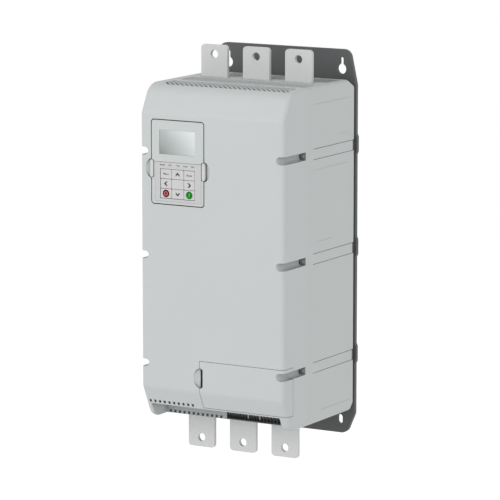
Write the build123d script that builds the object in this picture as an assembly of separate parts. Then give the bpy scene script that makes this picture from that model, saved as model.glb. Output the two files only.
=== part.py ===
from build123d import *
import os
from math import cos, hypot, radians, tan

# Soft starter for a three phase motor: a steel wall plate carries a heat sink with
# three thyristor modules, flat line bars leave through the top and load bars through
# the bottom, and a two part moulded housing with a keypad closes it at the front.
# Frame: origin at the centre of the plate's rear face, +X to the right as seen from
# the front, the front faces -Y and +Z is up. All sizes are in millimetres.

# Wall plate
plate_side = 0.5                   # plate beyond the housing at each side
plate_h = 516.0
plate_t = 5.5
plate_corner_r = 12.0
plate_top_taper = (46.0, 10.0)     # how far the slanted upper corner runs down and in
plate_low_taper = (28.0, 12.0)
ear_out = 1.7
ear_h = 38.0
ear_slope = 9.0
keyhole_pitch = 173.0
keyhole_r = 7.0
keyhole_slot_w = 6.0
keyhole_rise = 16.0
keyhole_from_top = 26.0
foot_slot_w = 8.0
foot_slot_h = 13.0
foot_slot_from_bottom = 18.5

# Moulded housing
house_w = 216.0
house_front = -196.25
house_top = 220.3
house_bottom = -224.25
parting_y = -135.7
wall = 2.5
front_corner_r = 6.0
top_facet_h = 36.8
top_facet_lean = 0.53              # depth lost for each millimetre of height
top_edge_r = 26.0
low_facet_h = 43.75
low_facet_lean = 0.48
heel_r = 16.0
facet_r = 14.0
rear_edge_r = 4.0
rear_cut_top = (17.0, 9.0)         # bevel at the rear top corner, depth and height
rear_cut_low = (9.0, 9.0)
screw_rows = (133.0, -4.3, -148.4)

# Screwdriver channels in both sides of the front cover
groove_r = 5.2
groove_depth = 7.0
groove_skin = 2.0
groove_lead = 30.0                 # degrees that the mouth is turned inwards
groove_lead_y = 8.0
lug_t = 4.0
screw_in = 5.4                     # screw axis to the outside of the side wall
screw_r = 2.0
screw_head_r = 3.7
screw_head_t = 3.0
screw_len = 17.7
screw_pocket_r = 4.4
boss_r = 5.0
boss_len = 17.0
fit = 0.05                         # radial clearance of a shaft in its hole

# Snap arms in the sides of the rear housing
arm_h = 13.2
arm_front = -119.5
arm_rear = -13.2
arm_gap = 0.6
latch_window = 6.0

# Vents
vent_pitch = 7.2
vent_width_x = 4.6                 # slot width measured along X
vent_skin = 1.4                    # deck thickness between the slots
deck_flat_front = -158.0           # the deck is flat behind this depth
vent_slope = 0.85                  # depth gained for each millimetre across
vent_side_left = 20.0
vent_side_right = 9.0
vent_front_band = (-171.0, -141.5)
vent_middle_band = (-130.0, -96.0)
vent_rear_band = (-66.0, -30.0)
vent_least_area = 14.0
lip_slot_count = 10
lip_slot_pitch = 7.2
lip_slot_w = 3.3
lip_slot_h = 4.4
lip_slot_side = 8.4

# Phases and their bars
phase_side = 12.45                 # housing side to the first phase's share of the width
bar_air = 23.7                     # clear width between neighbouring bars
bar_t = 5.0
bar_corner_r = 5.0
bar_hole_r = 5.5
bar_hole_edge = 12.7
bar_slot_gap = 1.2
line_bar_front = -81.0
line_bar_top = 263.1
load_bar_front = -116.0
load_bar_bottom = -272.9
bar_bend_r = 3.0
bar_bolt_r = 4.0
bar_bolt_head_r = 7.0
bar_bolt_len = 14.0

# Thyristor modules and heat sink
module_air = 13.7
module_low = -46.0
module_high = 62.0
module_foot = 12.0
module_foot_t = 4.0
module_t = 28.0
module_pad_t = 2.0
module_pad_w = 24.0
module_pad_h = 22.0
module_pad_in = 8.0                # terminal's edge to the end of the module's body
module_screw_r = 3.0
module_screw_head_r = 5.0
module_screw_head_t = 4.0
module_screw_socket_r = 2.2
module_screw_grip = 13.0
sink_base_front = -46.0
sink_base_t = 12.0
sink_side_air = 8.0
sink_low = -185.0
sink_high = 175.0
fin_t = 2.4
fin_count = 18
fin_air = 2.5                      # air between the fin tips and the plate
leg_w = 10.0
sink_screw_r = 2.5
sink_screw_head_r = 5.0
sink_screw_len = 20.0
sink_screw_rows = (-150.0, 140.0)

# Bypass contactors, current transformers and fans
bypass_air = 7.7
bypass_depth = 36.0
bypass_low = -42.0
bypass_high = 88.0
ct_air = 5.7
ct_depth = 36.0
ct_h = 36.0
ct_low = -165.0
ct_fit = 0.3
fan_size = 80.0                    # standard frame
fan_air = 10.0
fan_h = 25.0
fan_centre_y = -64.0
fan_rim = 2.0
fan_tip_gap = 1.5
fan_hub_r = 16.0
fan_shaft_r = 2.0
fan_blades = 7
fan_blade_t = 1.6
fan_mount_t = 3.0
fan_run_gap = 0.5

# Printed boards and their posts
board_t = 1.6
board_side_air = 16.0
board_low = -90.0
board_high = 165.0
gate_board_back = -124.0
control_board_back = -166.4
post_r = 3.5
post_edge = 4.0
post_rows = (-75.0, 150.0)
board_screw_r = 1.5
board_screw_head_r = 2.8
board_screw_head_t = 2.0
board_screw_grip = 9.0

# Keypad
pad_side = 57.0                    # keypad's middle to the left side of the housing
pad_centre_z = 119.95
pad_w = 78.2
pad_h = 109.6
pad_corner_r = 3.5
pad_proud = 0.5
pad_gap = 1.2
pad_skin = 1.8
pad_depth = 16.7
pad_back_t = 2.5
pocket_skin = 1.8
lens_w = 53.8
lens_share = 0.291                 # window height as a share of the keypad's
lens_rise = 0.2414                 # window's middle over the keypad's, as such a share
lens_left_by = 0.5
lens_flange = 2.0
key_edges = (-25.9, -9.1, 9.4, 26.0)   # from the keypad's middle
key_drop = 0.0805                  # top of the key field under the keypad's middle, as a share
key_row_share = 0.1173
key_gap = 0.5
key_t = 5.8
key_sink = 0.15
key_corner_r = 0.8
tact_size = 6.0
tact_h = 2.7
keypad_board_front = -187.5
plug_w = 18.0
plug_h = 12.0
latch_w = 4.8
latch_h = 23.2
latch_z = 110.8
latch_proud = 0.6
latch_travel = 0.8
latch_gap = 0.5
latch_room = 1.3                   # room round a latch in the front cover
latch_t = 9.0
scoop_w = 9.0
scoop_h = 26.0
scoop_depth = 3.0

# Hinged cover over the control terminals
lid_w = 126.4
lid_top = -138.9
lid_low = -202.2
lid_gap = 0.5
lid_axis_y = -176.0
hinge_in = 3.0                     # pin axis to the outside of the side wall
flap_t = 0.8                       # skin of the cover that runs on past its hinge
flap_reach = 3.4
knuckle_r = 1.9
knuckle_gap = 0.3
hinge_pin_r = 0.9
eye_spans = ((-192.0, -184.0), (-174.0, -166.0))
knuckle_span = (-201.0, -158.0)
channel_span = (-153.6, -143.2)    # heights between which a screw channel crosses the cover
grip_low = -173.0
grip_high = -150.0
grip_in = 4.4
bay_rest = 0.4                     # play between the closed cover and the bay's rim
bay_skin = 1.5
bay_side = 16.0
bay_back = -180.0

# Recess under the hinged cover, with the control tray at its back
recess_side_left = 8.5
recess_side_right = 13.0
recess_back = -145.0
recess_skin = 2.0
tray_in = 2.0                      # tray to the sides of the recess
tray_top = -207.0
tray_t = 2.5
tray_sill_back = -138.2            # depth of the tray's foot that closes the floor
tray_sill_t = 2.2
tray_fit = 0.15
tray_flange = 1.0
tray_flange_t = 1.6
tray_slot_count = 12
tray_slot_side = 13.8              # housing side to the first slot
tray_slot_pitch = 7.1
tray_slot_size = 3.6
tray_slot_z = -221.8
socket_w = 81.7
socket_side = 33.9
socket_low = -223.4
socket_high = -209.4
header_low = -221.5
header_back = -136.2
plug_poles = (8, 4, 6)
plug_pitches = (3.81, 3.81, 5.08)
plug_ends = (1.0, 0.9, 0.0)        # end wall beyond the outer poles
plug_spacing = 0.6
plug_face_drop = 0.4
plug_well_r = 1.45
plug_well_t = 1.4
plug_well_up = 7.2                 # foot of a plug to the middle of its screw wells

# Values that follow from the sizes above
half_w = house_w / 2
plate_w = house_w + 2 * plate_side
vent_left = vent_side_left - half_w
vent_right = half_w - vent_side_right
lip_slot_first = lip_slot_side - half_w
phase_pitch = (house_w - 2 * phase_side) / 3
bar_w = phase_pitch - bar_air
module_w = phase_pitch - module_air
bypass_w = phase_pitch - bypass_air
ct_w = phase_pitch - ct_air
sink_w = house_w - 2 * sink_side_air
fan_pitch = fan_size + fan_air
fan_hole_r = fan_size / 2 - fan_rim
board_w = house_w - 2 * board_side_air
post_x = board_w / 2 - post_edge
pad_centre_x = pad_side - half_w
lens_h = pad_h * lens_share
lens_centre_x = pad_centre_x - lens_left_by
lens_centre_z = pad_centre_z + pad_h * lens_rise
key_columns = [pad_centre_x + edge for edge in key_edges]
key_top = pad_centre_z - pad_h * key_drop
key_row_h = pad_h * key_row_share
lid_left = half_w - lid_w
bay_right = half_w - bay_side
recess_left = recess_side_left - half_w
recess_right = half_w - recess_side_right
recess_top = lid_low - lid_gap - recess_skin
tray_left = recess_left + tray_in
tray_right = recess_right - tray_in
tray_back = recess_back + tray_t + tray_flange_t
tray_slot_first = tray_slot_side - half_w
socket_right = half_w - socket_side
socket_left = socket_right - socket_w
groove_x = half_w - groove_depth + groove_r
screw_x = half_w - screw_in
plate_front = -plate_t
phases = [(i - 1) * phase_pitch for i in range(3)]
lid_axis_x = half_w - hinge_in
pad_left = pad_centre_x - pad_w / 2
pad_right = pad_centre_x + pad_w / 2
pad_front = house_front - pad_proud
pocket_floor = pad_front + pad_depth + pad_back_t + 0.3


def box(x0, x1, y0, y1, z0, z1):
    """Block between two corners."""
    size = Box(abs(x1 - x0), abs(y1 - y0), abs(z1 - z0))
    return Pos((x0 + x1) / 2, (y0 + y1) / 2, (z0 + z1) / 2) * size


def rod_y(radius, x, y0, y1, z):
    """Cylinder along Y."""
    return Pos(x, (y0 + y1) / 2, z) * Rot(90, 0, 0) * Cylinder(radius, abs(y1 - y0))


def rod_z(radius, x, y, z0, z1):
    """Cylinder along Z."""
    return Pos(x, y, (z0 + z1) / 2) * Cylinder(radius, abs(z1 - z0))


def front_prism(sketch, y0, y1):
    """A sketch drawn as seen from the front, X right and Z up, run from y0 back to y1."""
    return extrude(Plane(origin=(0, y1, 0), x_dir=(1, 0, 0), z_dir=(0, -1, 0)) * sketch, y1 - y0)


def side_prism(points, radii, x0, x1):
    """A rounded outline given as (y, z) points, run along X."""
    outline = make_face(FilletPolyline(*points, radius=radii, close=True))
    return extrude(Plane.YZ.offset(x0) * outline, x1 - x0)


# Outer form shared by both halves of the housing

def housing_outline():
    """Side view of the housing as (y, z) points and the radius at each."""
    points = [
        (plate_front, house_top - rear_cut_top[1]),
        (plate_front - rear_cut_top[0], house_top),
        (house_front + top_facet_lean * top_facet_h, house_top),
        (house_front, house_top - top_facet_h),
        (house_front, house_bottom + low_facet_h),
        (house_front + low_facet_lean * low_facet_h, house_bottom),
        (plate_front - rear_cut_low[0], house_bottom),
        (plate_front, house_bottom + rear_cut_low[1]),
    ]
    radii = [rear_edge_r, rear_edge_r, top_edge_r, facet_r, facet_r, heel_r, rear_edge_r,
             rear_edge_r]
    return points, radii


def housing_block(inset):
    """The whole housing as a solid, shrunk by inset on every outer face."""
    points, radii = housing_outline()
    outline = make_face(FilletPolyline(*points, radius=radii, close=True))
    if inset > 0:
        outline = offset(outline, amount=-inset)
    reach = half_w - inset
    block = extrude(Plane.YZ.offset(-reach) * outline, 2 * reach)
    rim = [e for f in (block.faces().sort_by(Axis.X)[0], block.faces().sort_by(Axis.X)[-1])
           for e in f.edges() if (e @ 0.5).Y < plate_front - inset - 1]
    return fillet(rim, front_corner_r - inset)


outer_block = housing_block(0)
inner_block = housing_block(wall)
rear_mouth = box(-half_w + wall, half_w - wall, plate_front - 3 * wall, plate_front + 1,
                 house_bottom + rear_cut_low[1] + wall, house_top - rear_cut_top[1] - wall)
housing_shell = outer_block - inner_block - rear_mouth


def half_space(front):
    """Everything in front of the parting plane, or everything behind it."""
    low, high = house_bottom - wall, house_top + wall
    if front:
        return box(-house_w, house_w, house_front - wall, parting_y, low, high)
    return box(-house_w, house_w, parting_y, wall, low, high)


def slanted_slots(band):
    """Slanted vent slots clipped to one band of the deck, as a sketch in X and Y."""
    front, rear = band
    width = vent_right - vent_left
    depth = rear - front
    lean = depth / vent_slope
    area = Pos((vent_left + vent_right) / 2, (front + rear) / 2) * Rectangle(width, depth)
    strips = []
    for i in range(int((width + lean) / vent_pitch) + 1):
        foot = vent_left + i * vent_pitch
        corners = [(foot, front), (foot + vent_width_x, front),
                   (foot + vent_width_x - lean, rear), (foot - lean, rear)]
        strips += (make_face(Polyline(*corners, close=True)) & area).faces()
    return [s for s in strips if s.area > vent_least_area]


def deck_vents(band):
    """Cutting solids for one band of deck slots and the thinner deck round them."""
    base = Plane(origin=(0, 0, house_top - 12))
    thinned = box(vent_left - 2, vent_right + 2, max(band[0], deck_flat_front), band[1],
                  house_top - 2 * wall, house_top - vent_skin)
    return [extrude(base * slot, 20) for slot in slanted_slots(band)] + [thinned]


def floor_vents():
    """Cutting solids for the fan intakes in the floor."""
    slots = []
    for side in (-1, 1):
        centre = side * fan_pitch / 2
        for i in range(8):
            x = centre + (i - 3.5) * 9.0
            reach = (fan_hole_r ** 2 - (x - centre) ** 2) ** 0.5 - 3
            slots.append(box(x - 2, x + 2, fan_centre_y - reach, fan_centre_y + reach,
                             house_bottom - 5, house_bottom + 5))
    return slots


def groove(radius, y_end, z, side):
    """Round bottomed channel open to the side, its mouth turned in at the front."""
    tools = []
    reach = 16.0
    straight = rod_y(radius, groove_x, house_front - 4, y_end, z)
    straight += box(groove_x, groove_x + reach, house_front - 4, y_end, z - radius, z + radius)
    tools.append(straight)
    pivot = Pos(groove_x, house_front + groove_lead_y, z) * Rot(0, 0, -groove_lead)
    mouth = rod_y(radius, 0, -groove_lead_y * 2, 0, 0)
    mouth += box(0, reach, -groove_lead_y * 2, 0, -radius, radius)
    tools.append(pivot * mouth)
    shape = tools[0] + tools[1]
    return shape if side > 0 else mirror(shape, about=Plane.YZ)


def stadium(width, height, x, z, grow=0.0, stretch=0.0):
    """Upright slot outline, grown all round and drawn out sideways by stretch."""
    shape = Pos(x, z) * SlotOverall(height + 2 * grow, width + 2 * grow, rotation=90)
    if stretch:
        shape = make_hull((shape + Pos(x + stretch, z)
                           * SlotOverall(height + 2 * grow, width + 2 * grow, rotation=90)).edges())
    return shape


def scoop(x_edge, z, direction):
    """Finger scoop beside an edge: deep at the edge and fading out away from it."""
    radius = (scoop_w ** 2 + scoop_depth ** 2) / (2 * scoop_depth)
    bowl = rod_z(radius, x_edge, house_front + scoop_depth - radius, z - scoop_h, z + scoop_h)
    outline = Pos(x_edge, z) * Ellipse(scoop_w, scoop_h / 2)
    bound = front_prism(outline, house_front - 3, house_front + 8)
    side = box(x_edge, x_edge + direction * 2 * scoop_w, house_front - 4, house_front + 9,
               z - scoop_h, z + scoop_h)
    return bowl & bound & side


def scoop_backing(x_edge, z, direction):
    """Thicker wall behind a finger scoop."""
    return box(x_edge, x_edge + direction * (scoop_w + 2), house_front + 0.5,
               house_front + wall + scoop_depth, z - scoop_h / 2 - 2, z + scoop_h / 2 + 2)


# Wall plate

def plate_outline():
    """Plate seen from the front, with slanted upper and lower corners and six ears."""
    half = plate_w / 2
    top = plate_h / 2
    right = [
        (half - plate_top_taper[1], top),
        (half, top - plate_top_taper[0]),
        (half, -top + plate_low_taper[0]),
        (half - plate_low_taper[1], -top),
    ]
    left = [(-x, z) for x, z in reversed(right)]
    radii = [plate_corner_r, 10, 10, plate_corner_r]
    body = make_face(FilletPolyline(*(right + left), radius=radii + radii, close=True))
    for z in screw_rows:
        tall = ear_h / 2
        ear = [(half + ear_out, z - tall + ear_slope), (half + ear_out, z + tall - ear_slope),
               (half - 3, z + tall + 1), (half - 3, z - tall - 1)]
        body += make_face(Polyline(*ear, close=True))
        body += make_face(Polyline(*[(-x, w) for x, w in ear], close=True))
    return body


def wall_fixing_holes():
    """Keyholes at the top and upright slots at the foot."""
    holes = Sketch()
    for side in (-1, 1):
        x = side * keyhole_pitch / 2
        z = plate_h / 2 - keyhole_from_top
        neck = keyhole_rise - keyhole_slot_w / 2
        holes += Pos(x, z) * Circle(keyhole_r)
        holes += Pos(x, z + neck / 2) * Rectangle(keyhole_slot_w, neck)
        holes += Pos(x, z + neck) * Circle(keyhole_slot_w / 2)
        foot_z = -plate_h / 2 + foot_slot_from_bottom
        holes += Pos(x, foot_z) * SlotOverall(foot_slot_h, foot_slot_w, rotation=90)
    return holes


def sink_screw_places():
    return [(side * (sink_w - leg_w) / 2, z) for side in (-1, 1) for z in sink_screw_rows]


def countersink(x, z, radius, head_r, face_y, depth):
    """Cone and shank of a countersunk screw driven towards -Y from face_y."""
    cone_t = head_r - radius
    cone = Pos(x, face_y - cone_t / 2, z) * Rot(90, 0, 0) * Cone(radius, head_r, cone_t)
    if cone.faces().sort_by(Axis.Y)[-1].area < cone.faces().sort_by(Axis.Y)[0].area:
        cone = Pos(x, face_y - cone_t / 2, z) * Rot(-90, 0, 0) * Cone(radius, head_r, cone_t)
    return cone + rod_y(radius, x, face_y - depth, face_y - cone_t, z)


def make_mounting_plate():
    plate = front_prism(plate_outline() - wall_fixing_holes(), -plate_t, 0)
    for side in (-1, 1):
        for z in screw_rows:
            inside = half_w - wall - 0.2
            low, high = z - arm_h / 2 + 1, z + arm_h / 2 - 1
            plate += box(side * (inside - 2.4), side * inside, arm_rear + 0.6, plate_front,
                         low, high)
            plate += box(side * inside, side * (half_w - 0.8), arm_rear + 0.6,
                         arm_rear + latch_window - 0.6, low, high)
    for x, z in sink_screw_places():
        plate -= countersink(x, z, sink_screw_r + fit, sink_screw_head_r, 0, 12)
    return plate


def make_plate_screws():
    screws = []
    for x, z in sink_screw_places():
        screw = countersink(x, z, sink_screw_r, sink_screw_head_r - fit, 0, sink_screw_len)
        screws.append(screw - box(x - 3, x + 3, -1.5, 1, z - 0.5, z + 0.5))
    return screws


# Heat sink and power parts

def make_heat_sink():
    half = sink_w / 2
    base_back = sink_base_front + sink_base_t
    sink = box(-half, half, sink_base_front, base_back, sink_low, sink_high)
    for side in (-1, 1):
        sink += box(side * (half - leg_w), side * half, base_back, plate_front, sink_low, sink_high)
    pitch = (sink_w - 2 * leg_w) / (fin_count + 1)
    for i in range(fin_count):
        x = -half + leg_w + (i + 1) * pitch
        sink += box(x - fin_t / 2, x + fin_t / 2, base_back, plate_front - fin_air,
                    sink_low, sink_high)
    for x, z in sink_screw_places():
        sink -= rod_y(sink_screw_r + fit, x, -sink_screw_len - 1, 0, z)
    for x in phases:
        for z in module_screw_rows():
            sink -= rod_y(module_screw_r + fit, x, sink_base_front - 1, base_back + 1, z)
    return sink


def module_screw_rows():
    return (module_low - module_foot / 2, module_high + module_foot / 2)


def make_module(x):
    """Sealed thyristor module with two fixing feet and two raised terminals."""
    half = module_w / 2
    back = sink_base_front
    body = box(x - half, x + half, back - module_t, back, module_low, module_high)
    body = chamfer(body.faces().sort_by(Axis.Y)[0].edges(), 2)
    body += box(x - half, x + half, back - module_foot_t, back,
                module_low - module_foot, module_high + module_foot)
    for z in module_screw_rows():
        body -= rod_y(module_screw_r + 0.3, x, back - module_foot_t - 1, back + 1, z)
    for z in (module_pad_low(), module_pad_high()):
        body += box(x - module_pad_w / 2, x + module_pad_w / 2,
                    back - module_t - module_pad_t, back - module_t,
                    z - module_pad_h / 2, z + module_pad_h / 2)
        body -= rod_y(bar_bolt_r + fit, x, back - module_t - module_pad_t - 1,
                      back - module_t + 8, z)
    return body


def module_pad_low():
    return module_low + module_pad_h / 2 + module_pad_in


def module_pad_high():
    return module_high - module_pad_h / 2 - module_pad_in


def make_module_screws():
    screws = []
    for x in phases:
        for z in module_screw_rows():
            face = sink_base_front - module_foot_t
            top = face - module_screw_head_t
            head = rod_y(module_screw_head_r, x, top, face, z)
            head -= rod_y(module_screw_socket_r, x, top - 1, top + module_screw_head_t / 2, z)
            screws.append(head + rod_y(module_screw_r, x, face, face + module_screw_grip, z))
    return screws


def make_line_bar(x):
    """Straight flat bar from a module's upper terminal out through the deck."""
    low = module_pad_high() - module_pad_h / 2 - 4
    tall = line_bar_top - low
    face = Pos(x, (line_bar_top + low) / 2) * Rectangle(bar_w, tall)
    face = fillet(face.vertices().group_by(Axis.Y)[-1], bar_corner_r)
    face -= Pos(x, line_bar_top - bar_hole_edge) * Circle(bar_hole_r)
    bar = front_prism(face, line_bar_front, line_bar_front + bar_t)
    return bar - bar_bolt_cut(x, module_pad_high())


def bar_bolt_cut(x, z):
    """Room for one flush bolt through a bar."""
    return bar_bolt_shape(x, z, bar_bolt_r + fit, bar_bolt_head_r, bar_t + 1)


def bar_bolt_shape(x, z, radius, head_r, length):
    cone_t = head_r - radius
    cone = Pos(x, line_bar_front + cone_t / 2, z) * Rot(90, 0, 0) * Cone(radius, head_r, cone_t)
    return cone + rod_y(radius, x, line_bar_front + cone_t, line_bar_front + length, z)


def make_load_bar(x):
    """Bar that leaves a module's lower terminal, steps forward and runs out at the foot."""
    step = line_bar_front - load_bar_front
    top = module_pad_low() + module_pad_h / 2 + 2
    bend_z = module_low - 2
    near = line_bar_front
    outline = [
        (near + bar_t, top), (near, top), (near, bend_z),
        (load_bar_front, bend_z - step), (load_bar_front, load_bar_bottom),
        (load_bar_front + bar_t, load_bar_bottom),
        (load_bar_front + bar_t, bend_z - step - bar_t * tan(radians(22.5))),
        (near + bar_t, bend_z - bar_t * tan(radians(22.5))),
    ]
    far_r = bar_bend_r + bar_t
    radii = [0, 0, bar_bend_r, far_r, 0, 0, bar_bend_r, far_r]
    bar = side_prism(outline, radii, x - bar_w / 2, x + bar_w / 2)
    foot = [e for e in bar.edges().filter_by(Axis.Y) if (e @ 0.5).Z < load_bar_bottom + 1]
    bar = fillet(foot, bar_corner_r)
    bar -= rod_y(bar_hole_r, x, load_bar_front - 1, load_bar_front + bar_t + 1,
                 load_bar_bottom + bar_hole_edge)
    return bar - bar_bolt_cut(x, module_pad_low())


def make_bar_bolts():
    bolts = []
    for x in phases:
        for z in (module_pad_low(), module_pad_high()):
            bolt = bar_bolt_shape(x, z, bar_bolt_r, bar_bolt_head_r - fit, bar_bolt_len - 1)
            hexagon = front_prism(Pos(x, z) * RegularPolygon(3, 6), line_bar_front - 1,
                                  line_bar_front + 2.5)
            bolts.append(bolt - hexagon)
    return bolts


def make_bypass(x):
    """Sealed bypass contactor that bridges a line bar and a load bar."""
    half = bypass_w / 2
    front = line_bar_front - bypass_depth
    body = box(x - half, x + half, front + 8, line_bar_front, bypass_low, bypass_high)
    body = fillet(body.edges().filter_by(Axis.Y), 3)
    crown = box(x - half + 5, x + half - 5, front, front + 8, bypass_low + 10, bypass_high - 10)
    crown = chamfer(crown.faces().sort_by(Axis.Y)[0].edges(), 2)
    body += crown
    for i in range(4):
        z = bypass_low + 35 + i * 20
        body -= box(x - half + 12, x + half - 12, front - 1, front + 1.5, z - 3, z + 3)
    return body


def make_ct(x):
    """Moulded current transformer around a load bar."""
    centre_y = load_bar_front + bar_t / 2
    body = box(x - ct_w / 2, x + ct_w / 2, centre_y - ct_depth / 2, centre_y + ct_depth / 2,
               ct_low, ct_low + ct_h)
    body = fillet(body.edges().filter_by(Axis.Z), 6)
    window = box(x - bar_w / 2 - ct_fit, x + bar_w / 2 + ct_fit,
                 load_bar_front - ct_fit, load_bar_front + bar_t + ct_fit,
                 ct_low - 1, ct_low + ct_h + 1)
    return body - window


# Fans

def fan_floor():
    return house_bottom + wall


def make_fan_frame(x):
    """Square fan frame with its motor mount, struts and fixed shaft."""
    low = fan_floor()
    half = fan_size / 2
    y = fan_centre_y
    frame = box(x - half, x + half, y - half, y + half, low, low + fan_h)
    frame = fillet(frame.edges().filter_by(Axis.Z), 5)
    frame -= rod_z(fan_hole_r, x, y, low - 1, low + fan_h + 1)
    mount = rod_z(fan_hub_r - 1, x, y, low, low + fan_mount_t)
    for i in range(4):
        strut = box(0, fan_hole_r + 1, -1.6, 1.6, low, low + fan_mount_t)
        mount += Pos(x, y, 0) * Rot(0, 0, 45 + 90 * i) * strut
    return frame + mount + rod_z(fan_shaft_r, x, y, low, low + fan_h - 4)


def make_fan_rotor(x):
    """Hub and tilted blades that turn on the fixed shaft."""
    low = fan_floor() + fan_mount_t + fan_run_gap
    high = fan_floor() + fan_h - 2
    hub = rod_z(fan_hub_r, 0, 0, low, high)
    hub = fillet(hub.edges().sort_by(Axis.Z)[-1], 2)
    tip = fan_hole_r - fan_tip_gap
    middle = (low + high) / 2
    for i in range(fan_blades):
        blade = Pos((fan_hub_r + tip) / 2, 0, middle) * Rot(38, 0, 0) \
            * Box(tip - fan_hub_r + 3, 20, fan_blade_t)
        hub += Rot(0, 0, i * 360 / fan_blades) * blade
    hub &= rod_z(tip, 0, 0, low, high)
    hub -= rod_z(fan_shaft_r + fit, 0, 0, low - 1, fan_floor() + fan_h - 4 + fan_run_gap)
    return Pos(x, fan_centre_y, 0) * hub


# Boards

def post_places():
    return [(side * post_x, z) for side in (-1, 1) for z in post_rows]


def board_blank(front):
    board = box(-board_w / 2, board_w / 2, front, front + board_t, board_low, board_high)
    return fillet(board.edges().filter_by(Axis.Y), 3)


def make_gate_board():
    """Gate drive board with a pulse transformer for each phase."""
    front = gate_board_back - board_t
    board = board_blank(front)
    blocks = ((13, 16, board_high - 105, 22), (10, 9, board_high - 145, 12),
              (20, 11, board_low + 30, 12))
    for x in phases:
        for half, tall, low, high in blocks:
            board += box(x - half, x + half, front - tall, front, low, low + high)
    return board


def make_control_board():
    """Control board with the keypad socket, relays and an option connector."""
    front = control_board_back - board_t
    board = board_blank(front)
    relay_w, relay_h = board_w / 10, 28.0
    for i in range(3):
        left = board_w * (0.06 + 0.13 * i)
        board += box(left, left + relay_w, front - 15, front, board_low + 30,
                     board_low + 30 + relay_h)
    board += box(-board_w * 0.38, -board_w * 0.16, front - 10, front, board_low + 70,
                 board_low + 90)
    board += box(board_w * 0.08, board_w * 0.25, front - 4, front, board_low + 150,
                 board_low + 180)
    x, z = pad_plug_centre()
    socket = box(x - plug_w / 2 - 2.3, x + plug_w / 2 + 2.3, front - 7, front,
                 z - plug_h / 2 - 2.3, z + plug_h / 2 + 2.3)
    socket -= box(x - plug_w / 2 - 0.3, x + plug_w / 2 + 0.3, front - 8, front - 1,
                  z - plug_h / 2 - 0.3, z + plug_h / 2 + 0.3)
    board += socket
    for px, pz in post_places():
        board -= rod_y(board_screw_r + 0.1, px, front - 1, front + board_t + 1, pz)
    return board


def make_posts(front, back, drilled):
    posts = []
    for x, z in post_places():
        post = front_prism(Pos(x, z) * RegularPolygon(post_r, 6), front, back)
        if drilled:
            post -= rod_y(board_screw_r + fit, x, front - 1, front + board_screw_grip, z)
        posts.append(post)
    return posts


def make_board_screws():
    face = control_board_back - board_t
    return [rod_y(board_screw_head_r, x, face - board_screw_head_t, face, z)
            + rod_y(board_screw_r, x, face, face + board_screw_grip, z)
            for x, z in post_places()]


# Keypad

def pad_plug_centre():
    return pad_centre_x, pad_centre_z - pad_h * 0.29


def key_cells():
    """Name, centre and size of each cell of the key grid."""
    names = (("key_menu", "key_up", "key_reset"),
             ("key_left", "key_blank", "key_right"),
             ("key_stop", "key_down", "key_start"))
    cells = []
    for row, line in enumerate(names):
        for column, name in enumerate(line):
            x0, x1 = key_columns[column], key_columns[column + 1]
            z = key_top - (row + 0.5) * key_row_h
            cells.append((name, (x0 + x1) / 2, z, x1 - x0, key_row_h))
    return cells


def latch_x(side):
    return pad_right if side > 0 else pad_left


def latch_window_sketch(side, grow):
    """Outline that a latch needs through the bezel, travel included."""
    return stadium(latch_w, latch_h, latch_x(side), latch_z, grow, -side * (latch_travel + 0.1))


def make_bezel():
    """Front shell of the keypad."""
    face = Pos(pad_centre_x, pad_centre_z) * RectangleRounded(pad_w, pad_h, pad_corner_r)
    shell = front_prism(face, pad_front, pad_front + pad_depth)
    shell = chamfer(shell.faces().sort_by(Axis.Y)[0].edges(), 0.4)
    hollow = Pos(pad_centre_x, pad_centre_z) * RectangleRounded(
        pad_w - 2 * pad_skin, pad_h - 2 * pad_skin, pad_corner_r - pad_skin)
    shell -= front_prism(hollow, pad_front + pad_skin, pad_front + pad_depth + 1)
    shell -= front_prism(Pos(lens_centre_x, lens_centre_z) * Rectangle(lens_w, lens_h),
                         pad_front - 1, pad_front + pad_skin + 1)
    left, right = key_columns[0] - key_gap / 2, key_columns[-1] + key_gap / 2
    low = key_top - 3 * key_row_h - key_gap / 2
    shell -= box(left, right, pad_front - 1, pad_front + pad_skin + 1, low, key_top + key_gap / 2)
    for side in (-1, 1):
        shell -= front_prism(latch_window_sketch(side, latch_gap), pad_front - 1,
                             pad_front + latch_t + latch_gap)
    return shell


def make_lens():
    """Clear window held behind the bezel by its flange."""
    pane = Pos(lens_centre_x, lens_centre_z) * Rectangle(lens_w - 0.2, lens_h - 0.2)
    flange = Pos(lens_centre_x, lens_centre_z) * Rectangle(
        lens_w + 2 * lens_flange, lens_h + 2 * lens_flange)
    inside = pad_front + pad_skin
    return front_prism(pane, pad_front + 0.3, inside) + front_prism(flange, inside, inside + 0.8)


def make_display():
    """Display module behind the window, seated on the keypad board."""
    front = pad_front + pad_skin + 1.1
    body = front_prism(Pos(lens_centre_x, lens_centre_z) * Rectangle(lens_w + 6, lens_h + 9),
                       front + 1, keypad_board_front)
    glass = Pos(lens_centre_x, lens_centre_z) * Rectangle(lens_w + 3, lens_h + 3)
    return body + front_prism(glass, front, front + 1)


def make_keypad_board():
    board = front_prism(Pos(pad_centre_x, pad_centre_z) * Rectangle(
        pad_w - 2 * pad_skin - 1, pad_h - 2 * pad_skin - 1),
        keypad_board_front, keypad_board_front + board_t)
    for name, x, z, _, _ in key_cells():
        if name != "key_blank":
            board += box(x - tact_size / 2, x + tact_size / 2, keypad_board_front - tact_h,
                         keypad_board_front, z - tact_size / 2, z + tact_size / 2)
    return board


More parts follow.
